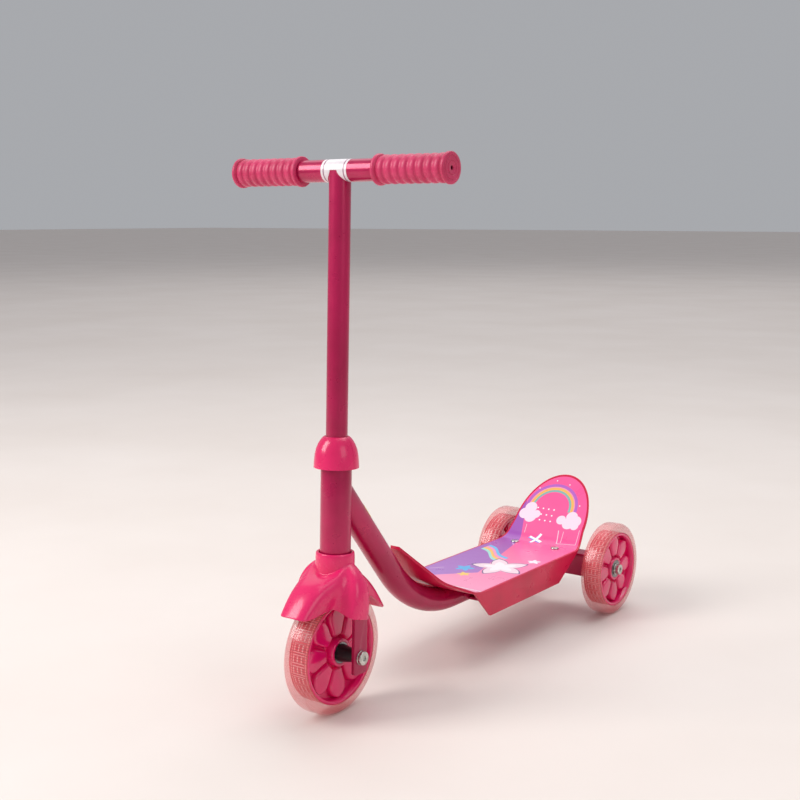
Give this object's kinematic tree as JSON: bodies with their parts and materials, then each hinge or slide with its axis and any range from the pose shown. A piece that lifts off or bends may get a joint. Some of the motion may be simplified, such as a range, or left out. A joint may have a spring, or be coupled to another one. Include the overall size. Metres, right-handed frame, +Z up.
{
  "type": "kick scooter",
  "caption": "Child's kick scooter: T handlebar on a turning fork, front wheel under a plastic cover, moulded deck with raised nose and tail, rear wheels on a cross beam.",
  "frame": {"origin": "on the ground, in the middle of the scooter's length and width", "axes": "+Z up, front of the scooter towards -Y, +X towards the rider's left"},
  "size_m": [0.2664, 0.5918, 0.5678],
  "materials": {
    "tube_paint": "metallic gloss paint",
    "pink_plastic": "gloss moulding",
    "deck_plastic": "satin gloss moulding",
    "deck_print": "printed film",
    "grip_rubber": "satin soft rubber",
    "tyre_clear": "clear tinted polyurethane",
    "print_film": "printed film",
    "hub_plastic": "gloss moulding",
    "steel_zinc": "bright zinc plate",
    "bearing_steel": "shielded bearing",
    "black_plastic": "matt moulding",
    "bush_nylon": "natural nylon",
    "label_film": "label film"
  },
  "bodies": {
    "frame": {"head_tube": "tube_paint", "lower_headset_bush": "bush_nylon", "upper_headset_bush": "bush_nylon", "down_tube": "tube_paint", "tube_label": "label_film", "deck": "deck_plastic", "deck_sheet": "deck_print", "rear_deck_bracket_left": "tube_paint", "rear_deck_bracket_right": "tube_paint", "front_deck_bracket_left": "tube_paint", "front_deck_bracket_right": "tube_paint", "rear_deck_bolts": "steel_zinc", "rear_deck_nuts": "steel_zinc", "front_deck_screws": "steel_zinc", "rear_beam": "tube_paint", "beam_end_plates": "tube_paint", "rear_axle_rod": "steel_zinc", "rear_axle_washers": "steel_zinc", "rear_axle_nuts": "steel_zinc", "rear_wheel_spacers": "black_plastic"},
    "steering": {"handlebar": "tube_paint", "stem_tube": "tube_paint", "steerer_tube": "tube_paint", "handlebar_wrap": "label_film", "left_grip": "grip_rubber", "right_grip": "grip_rubber", "dome_cover": "pink_plastic", "lock_collar": "steel_zinc", "lock_collar_screw": "steel_zinc", "thrust_washer": "bush_nylon", "fork_yoke": "tube_paint", "fork_cover": "pink_plastic", "front_axle_bolt": "steel_zinc", "front_axle_nut": "steel_zinc", "front_axle_washers": "steel_zinc", "front_axle_spacers": "black_plastic"},
    "front_wheel": {"front_wheel_tyre": "tyre_clear", "front_wheel_print_band": "print_film", "front_wheel_hub": "hub_plastic", "front_wheel_bearings": "bearing_steel", "front_wheel_bearing_sleeve": "steel_zinc"},
    "rear_left_wheel": {"rear_left_wheel_tyre": "tyre_clear", "rear_left_wheel_print_band": "print_film", "rear_left_wheel_hub": "hub_plastic", "rear_left_wheel_bearings": "bearing_steel", "rear_left_wheel_bearing_sleeve": "steel_zinc"},
    "rear_right_wheel": {"rear_right_wheel_tyre": "tyre_clear", "rear_right_wheel_print_band": "print_film", "rear_right_wheel_hub": "hub_plastic", "rear_right_wheel_bearings": "bearing_steel", "rear_right_wheel_bearing_sleeve": "steel_zinc"}
  },
  "joints": [
    {"name": "steering_turn", "type": "hinge", "parent": "frame", "child": "steering", "pos_m": [0, -0.22845, 0.06523], "axis": [0, 0.0323, 0.9995], "range_deg": [-45, 45]},
    {"name": "front_wheel_spin", "type": "hinge", "parent": "steering", "child": "front_wheel", "pos_m": [0, -0.23065, 0.0653], "axis": [1, 0, 0], "continuous": true},
    {"name": "rear_left_wheel_spin", "type": "hinge", "parent": "frame", "child": "rear_left_wheel", "pos_m": [0.078, 0.23735, 0.0586], "axis": [1, 0, 0], "continuous": true},
    {"name": "rear_right_wheel_spin", "type": "hinge", "parent": "frame", "child": "rear_right_wheel", "pos_m": [-0.078, 0.23735, 0.0586], "axis": [1, 0, 0], "continuous": true}
  ]
}
